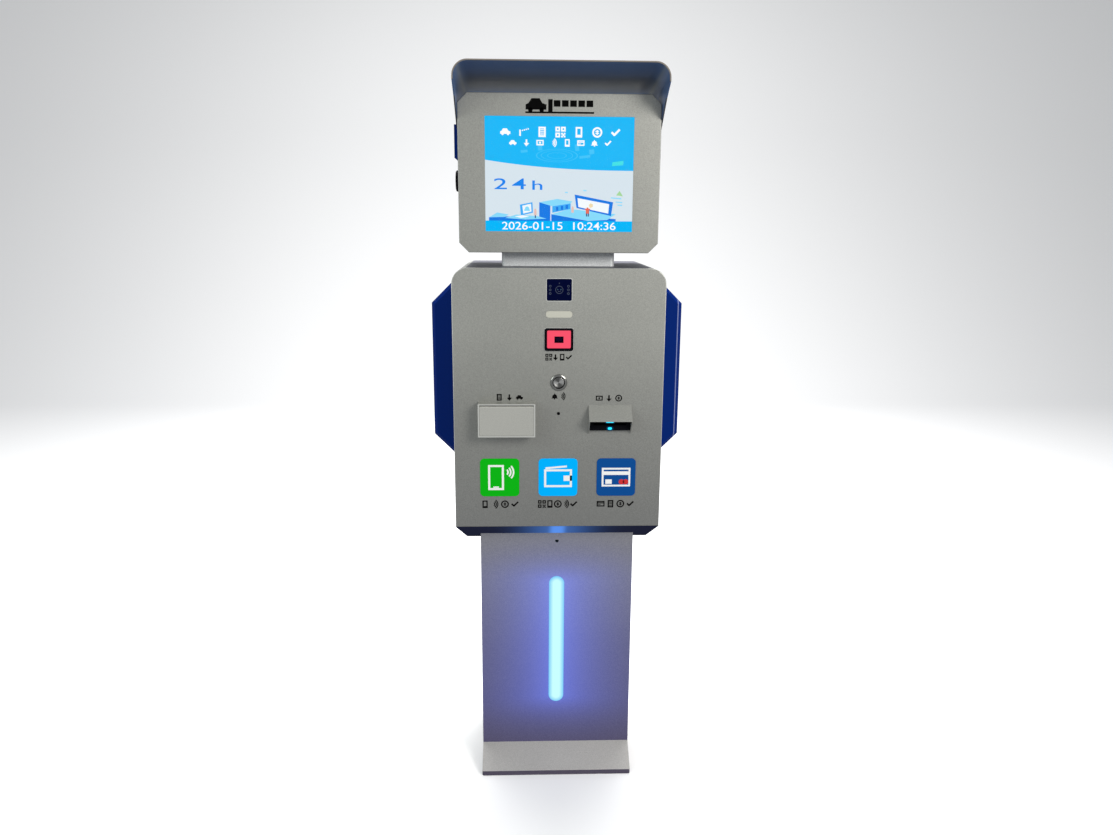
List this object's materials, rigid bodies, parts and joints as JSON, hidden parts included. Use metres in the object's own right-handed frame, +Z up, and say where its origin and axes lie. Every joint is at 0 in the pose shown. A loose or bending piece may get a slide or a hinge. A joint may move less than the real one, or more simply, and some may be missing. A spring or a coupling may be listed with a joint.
{
  "type": "parking pay station",
  "caption": "Free-standing parking pay station: bolted base with a lit pedestal, cabinet with ticket outlet, note inlet, code reader and help button, and a hooded display head.",
  "frame": {"origin": "centre of the four anchor bolts, on the underside of the base plate", "axes": "+Z up; the customer stands on the -Y side; +X is to the right of a customer who faces the station"},
  "size_m": [0.547, 0.387, 1.546],
  "materials": {
    "cabinet_grey": "satin powder coat",
    "lip_dark": "gloss powder coat",
    "pedestal_grey": "satin powder coat",
    "base_light": "satin powder coat",
    "wing_blue": "gloss powder coat",
    "hood_slate": "gloss powder coat",
    "door_grey": "satin powder coat",
    "zinc_steel": "zinc plated",
    "bright_steel": "polished",
    "cap_steel": "brushed",
    "screen_glass": "clear",
    "display_lit": "lit liquid crystal panel",
    "strip_light": "opal, lit from behind",
    "board_green": "printed circuit board",
    "window_dark": "infrared-pass glass",
    "camera_black": "moulded",
    "bar_opal": "opal, unlit",
    "scan_black": "moulded",
    "scan_glass": "clear",
    "scan_pink": "lit from inside",
    "ticket_grey": "satin powder coat",
    "flap_metal": "satin powder coat",
    "note_black": "moulded",
    "badge_plate": "printed plate",
    "paper_white": "thermal paper roll",
    "platen_rubber": "ground",
    "plastic_grey": "moulded",
    "plastic_black": "moulded",
    "nylon_black": "moulded nylon",
    "psu_metal": "perforated sheet"
  },
  "bodies": {
    "root": {"base_plate": "base_light", "base_skirts": "base_light", "pedestal_shell": "pedestal_grey", "pedestal_top_plate": "zinc_steel", "pedestal_rear_cover": "pedestal_grey", "pedestal_cover_screws": "zinc_steel", "strip_diffuser": "strip_light", "strip_led_board": "board_green", "cabinet_pan": "lip_dark", "cabinet_bolts": "zinc_steel", "cable_gland": "nylon_black", "cabinet_shell": "cabinet_grey", "front_panel": "cabinet_grey", "side_wing_left": "wing_blue", "side_wing_right": "wing_blue", "neck": "cabinet_grey", "head_shell": "cabinet_grey", "head_bezel": "cabinet_grey", "display_glass": "screen_glass", "display_panel": "display_lit", "hood": "hood_slate", "hood_screws": "zinc_steel", "hood_brackets": "wing_blue", "vent_domes": "plastic_black", "camera_window": "window_dark", "camera_module": "camera_black", "light_bar_lens": "bar_opal", "scanner_frame": "scan_black", "scanner_window": "scan_glass", "scanner_engine": "scan_pink", "button_bezel": "bright_steel", "button_switch": "plastic_black", "button_spring": "bright_steel", "microphone": "plastic_black", "ticket_hood": "ticket_grey", "ticket_flap_pin": "bright_steel", "note_hood": "ticket_grey", "note_validator": "note_black", "cash_shelf": "zinc_steel", "payment_badges": "badge_plate", "ticket_printer": "plastic_black", "roll_holder": "zinc_steel", "equipment_plate": "zinc_steel", "controller": "plastic_grey", "power_supply": "psu_metal", "circuit_breaker": "plastic_grey", "cabinet_hinges": "zinc_steel", "head_hinges": "zinc_steel"},
    "help_cap": {"help_button": "cap_steel"},
    "outlet_flap": {"ticket_flap": "flap_metal"},
    "cabinet_door": {"cabinet_rear_door": "door_grey", "fan_frame": "plastic_black"},
    "cabinet_lock_cam": {"cabinet_lock": "bright_steel"},
    "fan_wheel": {"fan_rotor": "plastic_black"},
    "head_door": {"head_rear_door": "door_grey"},
    "head_lock_cam": {"head_lock": "bright_steel"},
    "roll": {"paper_roll": "paper_white"},
    "platen": {"platen_roller": "platen_rubber"},
    "note_box": {"cash_box": "plastic_grey"},
    "main_lever": {"breaker_lever": "plastic_black"}
  },
  "joints": [
    {"name": "help_press", "type": "slide", "parent": "root", "child": "help_cap", "axis": [0, 1, 0], "range_m": [0, 0.002], "stiffness_N_per_m": 400, "springref_m": -0.001, "deforming": ["button_spring"]},
    {"name": "outlet_flap_hinge", "type": "hinge", "parent": "root", "child": "outlet_flap", "pos_m": [-0.1095, -0.1655, 0.8665], "axis": [-1, 0, 0], "range_deg": [0, 75]},
    {"name": "cabinet_door_hinge", "type": "hinge", "parent": "root", "child": "cabinet_door", "pos_m": [0.215, 0.193, 0.874], "axis": [0, 0, -1], "range_deg": [0, 115]},
    {"name": "cabinet_lock_turn", "type": "hinge", "parent": "cabinet_door", "child": "cabinet_lock_cam", "pos_m": [-0.18, 0.188, 0.874], "axis": [0, -1, 0], "range_deg": [0, 90]},
    {"name": "fan_spin", "type": "hinge", "parent": "cabinet_door", "child": "fan_wheel", "pos_m": [0, 0.175, 1.06], "axis": [0, 1, 0], "continuous": true},
    {"name": "head_door_hinge", "type": "hinge", "parent": "root", "child": "head_door", "pos_m": [0.1969, 0.109, 1.34], "axis": [0, 0, -1], "range_deg": [0, 115]},
    {"name": "head_lock_turn", "type": "hinge", "parent": "head_door", "child": "head_lock_cam", "pos_m": [-0.1619, 0.104, 1.34], "axis": [0, -1, 0], "range_deg": [0, 90]},
    {"name": "paper_roll_spin", "type": "hinge", "parent": "root", "child": "roll", "pos_m": [-0.1095, -0.02, 0.93], "axis": [1, 0, 0], "continuous": true},
    {"name": "platen_spin", "type": "hinge", "parent": "root", "child": "platen", "pos_m": [-0.1095, -0.1, 0.85], "axis": [1, 0, 0], "continuous": true},
    {"name": "cash_box_slide", "type": "slide", "parent": "root", "child": "note_box", "axis": [0, 1, 0], "range_m": [0, 0.06]},
    {"name": "main_lever_tilt", "type": "hinge", "parent": "root", "child": "main_lever", "pos_m": [-0.14, 0.14, 0.73], "axis": [1, 0, 0], "range_deg": [-25, 25]}
  ],
  "couplings": [
    {"joint": "platen_spin", "follows": "paper_roll_spin", "ratio": 4.75}
  ]
}
